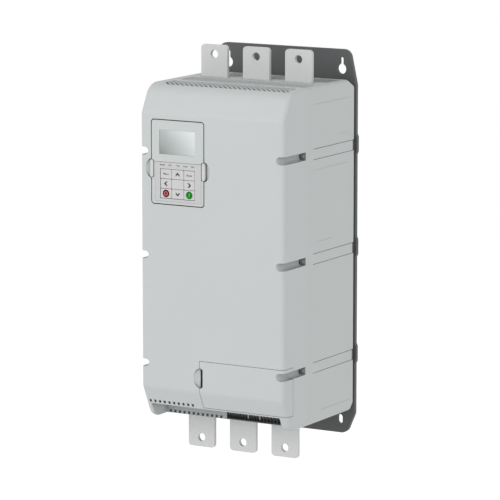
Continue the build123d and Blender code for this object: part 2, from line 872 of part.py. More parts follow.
def make_keypad_back():
    """Rear cover of the keypad with pegs for its board and the plug."""
    front = pad_front + pad_depth
    cover = front_prism(Pos(pad_centre_x, pad_centre_z)
                        * RectangleRounded(pad_w - 0.6, pad_h - 0.6, pad_corner_r),
                        front, front + pad_back_t)
    for sx in (-1, 1):
        for sz in (-1, 1):
            cover += rod_y(2, pad_centre_x + sx * pad_w * 0.38, keypad_board_front + board_t,
                           front, pad_centre_z + sz * pad_h * 0.42)
    x, z = pad_plug_centre()
    return cover + box(x - plug_w / 2, x + plug_w / 2, front, front + pad_back_t + 7,
                       z - plug_h / 2, z + plug_h / 2)


def make_key(name, x, z, width, height):
    """One key cap; the blank cell is a fixed tile that stands on the board."""
    front = house_front - pad_proud + key_sink
    back = keypad_board_front if name == "key_blank" else front + key_t
    outline = RectangleRounded(width - key_gap, height - key_gap, key_corner_r)
    cap = front_prism(Pos(x, z) * outline, front, back)
    return chamfer(cap.faces().sort_by(Axis.Y)[0].edges(), 0.25)


def make_latch(side):
    """Squeeze latch: a tall rounded button with a guide tongue inside the bezel."""
    x = latch_x(side)
    front = pad_front - latch_proud
    button = front_prism(stadium(latch_w, latch_h, x, latch_z), front, pad_front + latch_t)
    button = chamfer(button.faces().sort_by(Axis.Y)[0].edges(), 0.5)
    inner = pad_front + pad_skin + latch_gap
    tongue = box(x - side * (pad_skin + 9), x, inner, inner + 3.5, latch_z - 8, latch_z + 8)
    return button + tongue


def pocket_sketch(grow):
    return Pos(pad_centre_x, pad_centre_z) * RectangleRounded(
        pad_w + 2 * (pad_gap + grow), pad_h + 2 * (pad_gap + grow), pad_corner_r + pad_gap + grow)


# Front cover

def lid_zone(gap):
    """Corner of the housing that the hinged cover takes up, grown by a gap."""
    low, high = lid_low - gap, lid_top + gap
    zone = box(lid_left - gap, half_w + 10, house_front - 10, lid_axis_y, low, high)
    if gap:
        zone += box(lid_left - gap, lid_axis_x, lid_axis_y, lid_axis_y + gap, low, high)
        zone += swing_room(hypot(hinge_in, flap_reach) + gap * 0.7, low, channel_span[0])
        zone += swing_room(hinge_in + gap * 0.7, *channel_span)
        zone += swing_room(hypot(hinge_in, flap_reach) + gap * 0.7, channel_span[1], high)
    return zone


def swing_room(radius, low, high):
    """Room that the cover's side sweeps behind its hinge."""
    sweep = rod_z(radius, lid_axis_x, lid_axis_y, low, high)
    return sweep & box(lid_axis_x - radius, half_w + radius, lid_axis_y, lid_axis_y + radius,
                       low, high)


def hinge_flap():
    """Thin skin of the hinged cover that hides the room behind its hinge."""
    flap = box(half_w - flap_t, half_w, lid_axis_y - 1, lid_axis_y + flap_reach, lid_low, lid_top)
    return (flap & outer_block) - groove(groove_r, parting_y, screw_rows[2], 1)


def front_shell():
    """Front half of the shell with the walls of its six channels."""
    shell = housing_shell & half_space(True)
    for side in (-1, 1):
        for z in screw_rows:
            skin = groove(groove_r + groove_skin, parting_y, z, side)
            skin += rod_y(screw_pocket_r + groove_skin, side * screw_x, parting_y - 11,
                          parting_y, z)
            shell += skin & outer_block & half_space(True)
    for side in (-1, 1):
        for z in screw_rows:
            shell -= groove(groove_r, parting_y - lug_t, z, side)
            shell -= rod_y(screw_pocket_r, side * screw_x, parting_y - 10, parting_y - lug_t, z)
            shell -= rod_y(screw_r + 0.3, side * screw_x, parting_y - lug_t - 1, parting_y + 1, z)
    return shell


def bay_walls():
    """Tray behind the hinged cover, set back from the cover's inside by a small play."""
    left = lid_left + grip_in + 2 * bay_skin
    back = bay_back
    top = lid_top - 4
    low = lid_low + 4
    walls = box(left - bay_skin, bay_right, back, back + bay_skin, low - bay_skin,
                top + bay_skin)
    walls += box(left - bay_skin, left, house_front, back, low, top)
    walls += box(bay_right - bay_skin, bay_right, house_front, back, low, top)
    walls += box(left - bay_skin, bay_right, house_front, back, top, top + bay_skin)
    walls += box(left - bay_skin, bay_right, house_front, back, low - bay_skin, low)
    rim_back = house_front + wall + 2
    rim = box(lid_left - 5, bay_right, house_front, rim_back, top, lid_top + 5)
    rim += box(lid_left - 5, left, house_front, rim_back, grip_high + 3, lid_top + 5)
    rim += box(lid_left - 5, left, house_front, rim_back, low - bay_skin, grip_low - 3)
    inside = rim & inner_block
    room = lid_zone(lid_gap) & half_space(True)
    play = housing_block(wall + bay_rest)
    return ((walls + rim) & play) + (inside - room)


def hinge_eyes():
    """Two fixed eyes on arms from the bay that hold the hinge pin."""
    eyes = Part()
    for low, high in eye_spans:
        eyes += rod_z(knuckle_r, lid_axis_x, lid_axis_y, low, high)
        eyes += box(bay_right - bay_skin, lid_axis_x, lid_axis_y - 2 * bay_skin,
                    lid_axis_y + 0.4, low, high)
    return eyes


def eye_room():
    """Room round the fixed eyes, taken out of the hinged cover."""
    room = Part()
    for low, high in eye_spans:
        low, high = low - knuckle_gap, high + knuckle_gap
        room += rod_z(knuckle_r + knuckle_gap, lid_axis_x, lid_axis_y, low, high)
        room += box(bay_right, half_w - wall, lid_axis_y - 5, lid_axis_y + 5, low, high)
    return room


def make_terminal_cover(shell):
    """Hinged cover cut from the same shell, with its knuckles and finger grip."""
    lid = shell & lid_zone(0)
    lid += hinge_flap()
    lid += rod_z(knuckle_r, lid_axis_x, lid_axis_y, *knuckle_span)
    lid += box(lid_axis_x - knuckle_r, half_w - flap_t, lid_axis_y - 3, lid_axis_y, *knuckle_span) \
        & outer_block
    lid -= eye_room()
    lid -= rod_z(hinge_pin_r + fit, lid_axis_x, lid_axis_y, lid_low - 1, knuckle_span[1] - 0.8)
    grip = [(lid_left - 1, grip_low - 3), (lid_left + grip_in, grip_low),
            (lid_left + grip_in, grip_high), (lid_left - 1, grip_high + 3)]
    return lid - front_prism(make_face(Polyline(*grip, close=True)), house_front - 1,
                             house_front + 4 * wall)


def make_hinge_pin():
    return rod_z(hinge_pin_r, lid_axis_x, lid_axis_y, knuckle_span[0] + 0.3, knuckle_span[1] - 1)


def recess_block(grow):
    """Room of the recess, grown sideways, upwards and backwards."""
    return box(recess_left - grow, recess_right + grow, house_front - 5, recess_back + grow,
               house_bottom - 5, recess_top + grow)


def tray_opening():
    """Opening for the tray in the recess's back wall and in the floor behind it."""
    upright = box(tray_left, tray_right, recess_back - 1, recess_back + tray_t + 0.01,
                  house_bottom - 1, tray_top)
    return upright + box(tray_left, tray_right, recess_back, tray_sill_back,
                         house_bottom - 1, house_bottom + wall + 1)


def make_front_cover(shell):
    cover = shell - lid_zone(lid_gap)
    cover += bay_walls() - groove(groove_r + groove_skin + 0.5, parting_y, screw_rows[2], 1)
    # keypad pocket with its floor and latch recesses
    cover += front_prism(pocket_sketch(pocket_skin), house_front + 0.5, pocket_floor + pocket_skin)
    for side in (-1, 1):
        cover += scoop_backing(latch_x(side), latch_z, side)
    cover -= front_prism(pocket_sketch(0), house_front - 2, pocket_floor)
    for side in (-1, 1):
        cover -= front_prism(stadium(latch_w, latch_h, latch_x(side), latch_z, latch_room),
                             house_front - 2, house_front + latch_t + 1)
        cover -= scoop(latch_x(side), latch_z, side)
    x, z = pad_plug_centre()
    cover -= box(x - plug_w / 2 - 1, x + plug_w / 2 + 1, pocket_floor - 1,
                 pocket_floor + pocket_skin + 1, z - plug_h / 2 - 1, z + plug_h / 2 + 1)
    # finger scoop beside the hinged cover
    grip_z = (grip_low + grip_high) / 2
    backing = scoop_backing(lid_left, grip_z, -1) - lid_zone(lid_gap)
    cover = cover + backing - scoop(lid_left, grip_z, -1)
    # vents
    cover -= deck_vents(vent_front_band)
    for i in range(lip_slot_count):
        x = lip_slot_first + i * lip_slot_pitch
        low = lid_low - 1.2
        cover -= box(x - lip_slot_w / 2, x + lip_slot_w / 2, house_front, house_front + 24,
                     low, low + lip_slot_h)
    # recess for the control tray
    cover += recess_block(recess_skin) & outer_block & half_space(True)
    cover -= recess_block(0)
    cover -= tray_opening()
    eyes = hinge_eyes() - rod_z(hinge_pin_r + fit, lid_axis_x, lid_axis_y,
                                lid_low - wall, lid_top)
    return cover + eyes


# Control tray and terminals

def make_control_tray():
    """Upright panel with a row of slots, a foot and the opening for the control plugs."""
    left, right, top = tray_left + tray_fit, tray_right - tray_fit, tray_top - tray_fit
    foot = house_bottom + tray_fit
    tray = box(left, right, recess_back + 0.2, recess_back + tray_t, foot, top)
    tray += box(left, right, recess_back + tray_t, tray_sill_back - tray_fit, foot,
                foot + tray_sill_t)
    tray += box(tray_left - tray_flange, tray_right + tray_flange, recess_back + recess_skin,
                tray_back, house_bottom + wall, tray_top + tray_flange)
    half = tray_slot_size / 2
    for i in range(tray_slot_count):
        x = tray_slot_first + i * tray_slot_pitch
        tray -= box(x - half, x + half, recess_back - 1, tray_sill_back - 1,
                    tray_slot_z - half, tray_slot_z + half)
    return tray - box(socket_left, socket_right, recess_back - 1, tray_sill_back + 1,
                      socket_low, socket_high)


def make_terminal_header():
    """Socket strip fixed behind the tray's opening."""
    return box(socket_left - 2, socket_right + 2, tray_back, header_back,
               header_low, socket_high + 1)


def plug_spans():
    """Left edge, poles, pitch and end wall of each control plug, side by side."""
    spans = []
    x = socket_left + 0.2
    for poles, pitch, end in zip(plug_poles, plug_pitches, plug_ends):
        spans.append((x, poles, pitch, end))
        x += poles * pitch + 2 * end + plug_spacing
    return spans


def make_plug(left, poles, pitch, end):
    """Pluggable terminal block: a wire entry and a screw well for each pole."""
    low, high = socket_low + 0.2, socket_high - 0.4
    face = recess_back + plug_face_drop
    plug = box(left, left + poles * pitch + 2 * end, face, tray_back, low, high)
    for i in range(poles):
        x = left + end + (i + 0.5) * pitch
        plug -= box(x - 1.4, x + 1.4, face - 1, face + 2.6, low + 1.5, low + 4.9)
        plug -= rod_y(plug_well_r, x, face - 1, face + plug_well_t, low + plug_well_up)
    return plug


# Rear housing

def make_rear_housing():
    shell = housing_shell & half_space(False)
    for side in (-1, 1):
        for z in screw_rows:
            shell += rod_y(boss_r, side * screw_x, parting_y, parting_y + boss_len, z) & outer_block
            shell -= rod_y(screw_r + fit, side * screw_x, parting_y - 1,
                           parting_y + boss_len - 2, z)
            for edge in (-1, 1):
                seam = z + edge * (arm_h + arm_gap) / 2
                shell -= box(side * (half_w - 2 * wall), side * (half_w + 2), arm_front,
                             arm_rear, seam - arm_gap / 2, seam + arm_gap / 2)
            shell -= box(side * (half_w - 2 * wall), side * (half_w + 2), arm_rear,
                         arm_rear + latch_window, z - arm_h / 2 - arm_gap, z + arm_h / 2 + arm_gap)
    for x in phases:
        reach = bar_w / 2 + bar_slot_gap
        shell -= box(x - reach, x + reach, line_bar_front - bar_slot_gap,
                     line_bar_front + bar_t + bar_slot_gap, house_top - 10, house_top + 5)
        shell -= box(x - reach, x + reach, load_bar_front - bar_slot_gap,
                     load_bar_front + bar_t + bar_slot_gap, house_bottom - 5, house_bottom + 10)
    shell -= deck_vents(vent_middle_band) + deck_vents(vent_rear_band)
    return shell - floor_vents()


def make_cover_screws():
    """Six screws that hold the front cover, seated at the ends of the channels."""
    face = parting_y - lug_t
    screws = []
    for side in (-1, 1):
        for z in screw_rows:
            x = side * screw_x
            screw = rod_y(screw_head_r, x, face - screw_head_t, face, z)
            for dx, dz in ((2.4, 0.5), (0.5, 2.4)):
                screw -= box(x - dx, x + dx, face - screw_head_t - 1, face - screw_head_t + 1.2,
                             z - dz, z + dz)
            screws.append(screw + rod_y(screw_r, x, face, face + screw_len, z))
    return screws


def write(name, shape):
    """Store one named piece, or a group of like pieces, as its own file."""
    if isinstance(shape, list):
        shape = Compound(children=shape)
    export_step(shape, os.path.join("parts", name + ".step"))


os.makedirs("parts", exist_ok=True)
shell = front_shell()
write("mounting_plate", make_mounting_plate())
write("plate_screws", make_plate_screws())
write("heat_sink", make_heat_sink())
for number, x in enumerate(phases, 1):
    write(f"thyristor_module_{number}", make_module(x))
    write(f"line_busbar_{number}", make_line_bar(x))
    write(f"load_busbar_{number}", make_load_bar(x))
    write(f"bypass_contactor_{number}", make_bypass(x))
    write(f"current_transformer_{number}", make_ct(x))
write("module_screws", make_module_screws())
write("busbar_bolts", make_bar_bolts())
for number, x in enumerate((-fan_pitch / 2, fan_pitch / 2), 1):
    write(f"fan_frame_{number}", make_fan_frame(x))
    write(f"fan_rotor_{number}", make_fan_rotor(x))
write("gate_board", make_gate_board())
write("control_board", make_control_board())
write("board_posts_rear", make_posts(gate_board_back, sink_base_front, False))
write("board_posts_front", make_posts(control_board_back, gate_board_back - board_t, True))
write("board_screws", make_board_screws())
write("rear_housing", make_rear_housing())
write("front_cover", make_front_cover(shell))
write("cover_screws", make_cover_screws())
write("terminal_cover", make_terminal_cover(shell))
write("hinge_pin", make_hinge_pin())
write("control_tray", make_control_tray())
write("terminal_header", make_terminal_header())
for number, span in enumerate(plug_spans(), 1):
    write(f"terminal_plug_{number}", make_plug(*span))
write("keypad_bezel", make_bezel())
write("keypad_back", make_keypad_back())
write("keypad_board", make_keypad_board())
write("display_window", make_lens())
write("display_module", make_display())
for cell in key_cells():
    write(cell[0], make_key(*cell))
write("latch_left", make_latch(-1))
write("latch_right", make_latch(1))
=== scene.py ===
from math import radians
import bpy
from mathutils import Matrix, Vector


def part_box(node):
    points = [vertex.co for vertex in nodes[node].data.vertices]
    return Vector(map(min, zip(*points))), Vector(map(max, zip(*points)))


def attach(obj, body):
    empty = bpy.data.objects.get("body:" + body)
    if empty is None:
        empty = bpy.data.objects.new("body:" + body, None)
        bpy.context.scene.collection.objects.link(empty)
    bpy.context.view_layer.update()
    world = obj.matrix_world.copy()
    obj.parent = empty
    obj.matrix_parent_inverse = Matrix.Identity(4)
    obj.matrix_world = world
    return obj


# Looks of a wall mounted soft starter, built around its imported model.
# Object frame: +X right, the front faces -Y, +Z up, in metres.
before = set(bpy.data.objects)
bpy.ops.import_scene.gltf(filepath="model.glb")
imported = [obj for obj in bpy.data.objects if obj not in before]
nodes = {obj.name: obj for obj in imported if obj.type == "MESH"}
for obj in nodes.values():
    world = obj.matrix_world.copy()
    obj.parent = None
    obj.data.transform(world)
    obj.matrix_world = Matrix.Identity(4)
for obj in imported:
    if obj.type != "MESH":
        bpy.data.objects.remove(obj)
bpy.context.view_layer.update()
MM = 0.001

# Photograph's view
CAMERA_AT = (2.27718, -4.03339, 0.75027)
CAMERA_TURN = (80.58, 0.0, 30.0486)
CAMERA_LENS = 251.54

# Light
AMBIENT = 1.07
CEILING_LOSS = 0.64                # ambient light missing straight above
FLOOR_Z = -0.62
FLOOR_SIZE = 60.0
FLOOR_GLOW = 0.45
LAMP_TARGET = (0, -0.1, 0)
LAMP_SIZE = 2.0
LAMPS = (("key_lamp", (-1.6, -4.2, 2.4), 64), ("side_lamp", (4.5, -1.0, 1.2), 12))

# Colours, linear
COVER_GREY = (0.585, 0.612, 0.612)
REAR_GREY = (0.575, 0.605, 0.600)
# Tray grey, darkened as painted shade for the panel under the cover's lip
TRAY_SHADED_GREY = (0.447, 0.474, 0.471)
BEZEL_GREY = (0.590, 0.625, 0.615)
OVERLAY_GREY = (0.590, 0.585, 0.587)
KEY_GREY = (0.628, 0.622, 0.624)
LATCH_GREY = (0.640, 0.665, 0.660)
PRINT_BLACK = (0.012, 0.013, 0.015)
LINE_GREY = (0.330, 0.335, 0.340)
DIVIDER_GREY = (0.150, 0.155, 0.160)
PLATE_GREY = (0.100, 0.102, 0.104)
TIN = (0.622, 0.628, 0.628)
ZINC = (0.480, 0.485, 0.490)
SCREW_STEEL = (0.150, 0.152, 0.156)
ALUMINIUM = (0.560, 0.570, 0.580)
BLACK = (0.016, 0.016, 0.018)
MODULE_BLACK = (0.030, 0.031, 0.034)
FAN_BLACK = (0.022, 0.022, 0.024)
BOARD_GREEN = (0.012, 0.085, 0.040)
STOP_RED = (0.095, 0.002, 0.005)
START_GREEN = (0.003, 0.190, 0.006)
MARK_RED = (0.720, 0.170, 0.170)
MARK_GREEN = (0.065, 0.660, 0.065)
# Dark and pale ends of the display's painted reflection
SCREEN_DARK = (0.225, 0.262, 0.248)
SCREEN_LIGHT = (0.880, 0.910, 0.920)
# Brown grey of dusty upward faces and of the painted shade on them
DUST_AND_SHADE_BROWN = (0.300, 0.290, 0.270)

# Reach of the shared effects
EDGE_R = 0.45 * MM                 # rounding that edges seem to have
HOLLOW_REACH = 14.0 * MM           # distance within which walls put painted shade into a hollow


# Shader node groups

def new_group(name, inputs, outputs):
    """Empty shader group with the named inputs and outputs, given as (name, kind, value)."""
    tree = bpy.data.node_groups.new(name, "ShaderNodeTree")
    kinds = {"value": "NodeSocketFloat", "colour": "NodeSocketColor", "vector": "NodeSocketVector"}
    for label, kind, value in inputs:
        socket = tree.interface.new_socket(name=label, in_out="INPUT", socket_type=kinds[kind])
        if value is not None:
            socket.default_value = value
    for label, kind in outputs:
        tree.interface.new_socket(name=label, in_out="OUTPUT", socket_type=kinds[kind])
    return tree, tree.nodes.new("NodeGroupInput"), tree.nodes.new("NodeGroupOutput")


def math_node(tree, operation, first, second=None, clamp=False):
    """Math node fed by sockets or plain numbers."""
    node = tree.nodes.new("ShaderNodeMath")
    node.operation = operation
    node.use_clamp = clamp
    for slot, value in enumerate((first, second)):
        if value is None:
            continue
        if isinstance(value, (int, float)):
            node.inputs[slot].default_value = value
        else:
            tree.links.new(value, node.inputs[slot])
    return node.outputs[0]


def mix_colour(tree, share, first, second):
    """Colour mix fed by sockets or plain colours."""
    node = tree.nodes.new("ShaderNodeMix")
    node.data_type = "RGBA"
    for slot, value in ((0, share), (6, first), (7, second)):
        if isinstance(value, bpy.types.NodeSocket):
            tree.links.new(value, node.inputs[slot])
        elif isinstance(value, (int, float)):
            node.inputs[slot].default_value = value
        else:
            node.inputs[slot].default_value = (*value, 1.0)
    return node.outputs[2]


def noise(tree, scale, detail, stretch=(1, 1, 1)):
    """Noise on the object's own coordinates, drawn out along an axis by a small stretch value."""
    place = tree.nodes.new("ShaderNodeTexCoord")
    mapping = tree.nodes.new("ShaderNodeMapping")
    mapping.inputs["Scale"].default_value = stretch
    tree.links.new(place.outputs["Object"], mapping.inputs["Vector"])
    node = tree.nodes.new("ShaderNodeTexNoise")
    node.inputs["Detail"].default_value = detail
    if isinstance(scale, bpy.types.NodeSocket):
        tree.links.new(scale, node.inputs["Scale"])
    else:
        node.inputs["Scale"].default_value = scale
    tree.links.new(mapping.outputs["Vector"], node.inputs["Vector"])
    return node.outputs["Fac"]


def build_mottle():
    """Slow change of tone over a surface, and the roughness that goes with it."""
    tree, inp, out = new_group(
        "tone mottle",
        [("Colour", "colour", (0.5, 0.5, 0.5, 1)), ("Amount", "value", 0.05),
         ("Scale", "value", 9.0), ("Roughness", "value", 0.5)],
        [("Colour", "colour"), ("Roughness", "value")])
    slow = noise(tree, inp.outputs["Scale"], 3.0)
    centred = math_node(tree, "SUBTRACT", slow, 0.5)
    swing = math_node(tree, "MULTIPLY", centred, inp.outputs["Amount"])
    factor = math_node(tree, "ADD", swing, 1.0)
    scale = tree.nodes.new("ShaderNodeVectorMath")
    scale.operation = "SCALE"
    tree.links.new(inp.outputs["Colour"], scale.inputs[0])
    tree.links.new(factor, scale.inputs["Scale"])
    tree.links.new(scale.outputs[0], out.inputs["Colour"])
    rough = math_node(tree, "ADD", inp.outputs["Roughness"],
                      math_node(tree, "MULTIPLY", centred, 0.12))
    tree.links.new(rough, out.inputs["Roughness"])
    return tree


def build_grain():
    """Fine spark eroded grain of a mould, as a height."""
    tree, inp, out = new_group("mould grain", [("Scale", "value", 1400.0)], [("Height", "value")])
    fine = noise(tree, inp.outputs["Scale"], 2.0)
    coarse = noise(tree, math_node(tree, "MULTIPLY", inp.outputs["Scale"], 0.35), 1.0)
    both = math_node(tree, "ADD", math_node(tree, "MULTIPLY", fine, 0.6),
                     math_node(tree, "MULTIPLY", coarse, 0.4))
    tree.links.new(both, out.inputs["Height"])
    return tree


def build_streaks():
    """Drawing or rolling streaks along Z."""
    tree, inp, out = new_group("metal streaks", [("Scale", "value", 500.0)],
                               [("Height", "value"), ("Tone", "value")])
    long_lines = noise(tree, inp.outputs["Scale"], 3.0, (1, 1, 0.02))
    patches = noise(tree, 60.0, 2.0, (1, 1, 0.25))
    tree.links.new(long_lines, out.inputs["Height"])
    tone = math_node(tree, "ADD", math_node(tree, "MULTIPLY", long_lines, 0.5),
                     math_node(tree, "MULTIPLY", patches, 0.5))
    tree.links.new(tone, out.inputs["Tone"])
    return tree


def build_soft_edges():
    """Normal of slightly rounded edges, and a mask that is bright along those edges."""
    tree, _, out = new_group("soft edges", [], [("Normal", "vector"), ("Edge", "value")])
    bevel = tree.nodes.new("ShaderNodeBevel")
    bevel.samples = 4
    bevel.inputs["Radius"].default_value = EDGE_R
    geometry = tree.nodes.new("ShaderNodeNewGeometry")
    dot = tree.nodes.new("ShaderNodeVectorMath")
    dot.operation = "DOT_PRODUCT"
    tree.links.new(bevel.outputs[0], dot.inputs[0])
    tree.links.new(geometry.outputs["True Normal"], dot.inputs[1])
    away = math_node(tree, "SUBTRACT", 1.0, dot.outputs["Value"], True)
    tree.links.new(math_node(tree, "MULTIPLY", away, 3.0, True), out.inputs["Edge"])
    tree.links.new(bevel.outputs[0], out.inputs["Normal"])
    return tree


def build_dust_and_top_shade():
    """Dust on faces that look up, made darker as painted shade on tops that get less light."""
    tree, inp, out = new_group("dust and top shade", [("Amount", "value", 0.2)], [("Mask", "value")])
    geometry = tree.nodes.new("ShaderNodeNewGeometry")
    split = tree.nodes.new("ShaderNodeSeparateXYZ")
    tree.links.new(geometry.outputs["True Normal"], split.inputs[0])
    upward = math_node(tree, "MULTIPLY", math_node(tree, "SUBTRACT", split.outputs["Z"], 0.6),
                       2.5, True)
    patch = noise(tree, 45.0, 4.0)
    tree.links.new(math_node(tree, "MULTIPLY", math_node(tree, "MULTIPLY", upward, patch),
                             inp.outputs["Amount"]), out.inputs["Mask"])
    return tree


def build_hollows():
    """Mask of channels, seams and gaps, for painted shade where less light reaches them."""
    tree, inp, out = new_group("hollows", [("Amount", "value", 0.5)], [("Mask", "value")])
    around = tree.nodes.new("ShaderNodeAmbientOcclusion")
    around.samples = 8
    around.inputs["Distance"].default_value = HOLLOW_REACH
    closed = math_node(tree, "SUBTRACT", 1.0, around.outputs["AO"], True)
    deep = math_node(tree, "MULTIPLY", math_node(tree, "SUBTRACT", closed, 0.10), 1.8, True)
    tree.links.new(math_node(tree, "MULTIPLY", deep, inp.outputs["Amount"]), out.inputs["Mask"])
    return tree


MOTTLE = build_mottle()
HOLLOWS = build_hollows()
GRAIN = build_grain()
STREAKS = build_streaks()
SOFT_EDGES = build_soft_edges()
DUST_AND_TOP_SHADE = build_dust_and_top_shade()


def use_group(tree, group, **values):
    """Places a group in a material and sets its inputs by name."""
    node = tree.nodes.new("ShaderNodeGroup")
    node.node_tree = group
    for label, value in values.items():
        socket = node.inputs[label]
        if isinstance(value, bpy.types.NodeSocket):
            tree.links.new(value, socket)
        else:
            socket.default_value = (*value, 1.0) if isinstance(value, tuple) else value
    return node


def new_material(name):
    """New material with its tree and its shader."""
    material = bpy.data.materials.new(name)
    material.use_nodes = True
    return material, material.node_tree, material.node_tree.nodes["Principled BSDF"]


def set_bump(tree, shader, height, distance, strength=1.0, edges=None):
    """Feeds a height through a Bump node, over softened edges where they are given."""
    bump = tree.nodes.new("ShaderNodeBump")
    bump.inputs["Distance"].default_value = distance
    bump.inputs["Strength"].default_value = strength
    tree.links.new(height, bump.inputs["Height"])
    if edges is not None:
        tree.links.new(edges, bump.inputs["Normal"])
    tree.links.new(bump.outputs[0], shader.inputs["Normal"])


def moulded(name, colour, roughness=0.55, mottle=0.05, grain=1400.0, depth=0.03,
            edge_tint=(0.75, 0.76, 0.76), edge_share=0.18, dust_and_shade=0.0, specular=0.4, hollow_shade=0.0):
    """Moulded plastic: fine grain, slow mottle, lighter edges partly from wear and partly painted
    highlight, dusty upward faces darkened further as painted shade, and painted shade in hollows.
    """
    material, tree, shader = new_material(name)
    tone = use_group(tree, MOTTLE, Colour=colour, Amount=mottle, Roughness=roughness)
    edges = use_group(tree, SOFT_EDGES)
    # Lighter edges: partly wear and partly painted highlight
    edge_wear_and_highlight = math_node(tree, "MULTIPLY", edges.outputs["Edge"], edge_share)
    shade = mix_colour(tree, edge_wear_and_highlight, tone.outputs["Colour"], edge_tint)
    if dust_and_shade:
        # Dusty upward faces, darkened further as painted shade on tops that get less light
        dust_and_shade_mask = use_group(tree, DUST_AND_TOP_SHADE, Amount=dust_and_shade)
        shade = mix_colour(tree, dust_and_shade_mask.outputs["Mask"], shade, DUST_AND_SHADE_BROWN)
    if hollow_shade:
        # Painted shade: the colour darkens towards 30 percent in channels, seams and gaps that less
        # light reaches
        hollow = use_group(tree, HOLLOWS, Amount=hollow_shade)
        hollow_shade_colour = tuple(part * 0.30 for part in colour)
        shade = mix_colour(tree, hollow.outputs["Mask"], shade, hollow_shade_colour)
    tree.links.new(shade, shader.inputs["Base Color"])
    tree.links.new(tone.outputs["Roughness"], shader.inputs["Roughness"])
    shader.inputs["Specular IOR Level"].default_value = specular
    texture = use_group(tree, GRAIN, Scale=grain)
    set_bump(tree, shader, texture.outputs["Height"], depth * MM, 0.6, edges.outputs["Normal"])
    return material


def metal(name, colour, roughness, streak=500.0, tone=0.12, depth=0.012, metallic=1.0):
    """Plated or drawn metal with streaks along Z and a painted highlight along its edges."""
    material, tree, shader = new_material(name)
    lines = use_group(tree, STREAKS, Scale=streak)
    edges = use_group(tree, SOFT_EDGES)
    light = tuple(min(1.0, part * (1 + tone)) for part in colour)
    dark = tuple(part * (1 - tone) for part in colour)
    shade = mix_colour(tree, lines.outputs["Tone"], dark, light)
    # Painted highlight: edges lightened up to 1.35 times the colour
    bright = math_node(tree, "MULTIPLY", edges.outputs["Edge"], 0.5)
    shade = mix_colour(tree, bright, shade, tuple(min(1.0, part * 1.35) for part in colour))
    tree.links.new(shade, shader.inputs["Base Color"])
    rough = math_node(tree, "ADD", math_node(tree, "MULTIPLY", lines.outputs["Tone"], 0.16),
                      roughness - 0.08)
    tree.links.new(rough, shader.inputs["Roughness"])
    shader.inputs["Metallic"].default_value = metallic
    set_bump(tree, shader, lines.outputs["Height"], depth * MM, 0.5, edges.outputs["Normal"])
    return material


def powder_coat(name, colour):
    """Matt powder coat on sheet steel: orange peel and paler edges, partly from wear and partly
    painted highlight.
    """
    material, tree, shader = new_material(name)
    tone = use_group(tree, MOTTLE, Colour=colour, Amount=0.10, Scale=14.0, Roughness=0.58)
    edges = use_group(tree, SOFT_EDGES)
    # Paler edges: partly wear and partly painted highlight
    edge_wear_and_highlight = math_node(tree, "MULTIPLY", edges.outputs["Edge"], 0.55)
    shade = mix_colour(tree, edge_wear_and_highlight, tone.outputs["Colour"], (0.25, 0.25, 0.255))
    tree.links.new(shade, shader.inputs["Base Color"])
    tree.links.new(tone.outputs["Roughness"], shader.inputs["Roughness"])
    peel = use_group(tree, GRAIN, Scale=650.0)
    set_bump(tree, shader, peel.outputs["Height"], 0.06 * MM, 0.8, edges.outputs["Normal"])
    return material


def board_finish(name):
    """Green solder mask with lighter copper tracks under it."""
    material, tree, shader = new_material(name)
    place = tree.nodes.new("ShaderNodeTexCoord")
    turn = tree.nodes.new("ShaderNodeMapping")
    turn.inputs["Rotation"].default_value = (radians(90), 0, 0)
    tree.links.new(place.outputs["Object"], turn.inputs["Vector"])
    tracks = tree.nodes.new("ShaderNodeTexBrick")
    tracks.inputs["Scale"].default_value = 90.0
    tracks.inputs["Mortar Size"].default_value = 0.03
    tracks.inputs["Color1"].default_value = (*BOARD_GREEN, 1)
    tracks.inputs["Color2"].default_value = (0.010, 0.070, 0.034, 1)
    tracks.inputs["Mortar"].default_value = (0.030, 0.160, 0.070, 1)
    tree.links.new(turn.outputs["Vector"], tracks.inputs["Vector"])
    tone = use_group(tree, MOTTLE, Colour=tracks.outputs["Color"], Amount=0.15, Scale=30.0,
                     Roughness=0.35)
    tree.links.new(tone.outputs["Colour"], shader.inputs["Base Color"])
    tree.links.new(tone.outputs["Roughness"], shader.inputs["Roughness"])
    set_bump(tree, shader, tracks.outputs["Fac"], 0.05 * MM, 0.4)
    return material


def painted_reflection_screen(name, low, high):
    """Grey green display with a painted reflection that runs from the dark lower left to the pale
    upper right.
    """
    material, tree, shader = new_material(name)
    place = tree.nodes.new("ShaderNodeTexCoord")
    split = tree.nodes.new("ShaderNodeSeparateXYZ")
    tree.links.new(place.outputs["Object"], split.inputs[0])
    across = tree.nodes.new("ShaderNodeMapRange")
    across.inputs["From Min"].default_value = low[0]
    across.inputs["From Max"].default_value = high[0]
    tree.links.new(split.outputs["X"], across.inputs["Value"])
    upward = tree.nodes.new("ShaderNodeMapRange")
    upward.inputs["From Min"].default_value = low[2]
    upward.inputs["From Max"].default_value = high[2]
    tree.links.new(split.outputs["Z"], upward.inputs["Value"])
    # Painted reflection: the sheen is painted into the base colour as a slanted gradient
    slant = math_node(tree, "ADD", math_node(tree, "MULTIPLY", across.outputs[0], 0.62),
                      math_node(tree, "MULTIPLY", upward.outputs[0], 0.38), True)
    wobble = math_node(tree, "MULTIPLY", math_node(tree, "SUBTRACT", noise(tree, 40.0, 1.0), 0.5),
                       0.12)
    share = math_node(tree, "SMOOTH_MIN", math_node(tree, "ADD", slant, wobble), 1.0)
    tree.links.new(mix_colour(tree, share, SCREEN_DARK, SCREEN_LIGHT), shader.inputs["Base Color"])
    shader.inputs["Roughness"].default_value = 0.35
    shader.inputs["Specular IOR Level"].default_value = 0.25
    pixels = use_group(tree, GRAIN, Scale=2600.0)
    set_bump(tree, shader, pixels.outputs["Height"], 0.01 * MM, 0.3)
    return material


# Materials of this starter

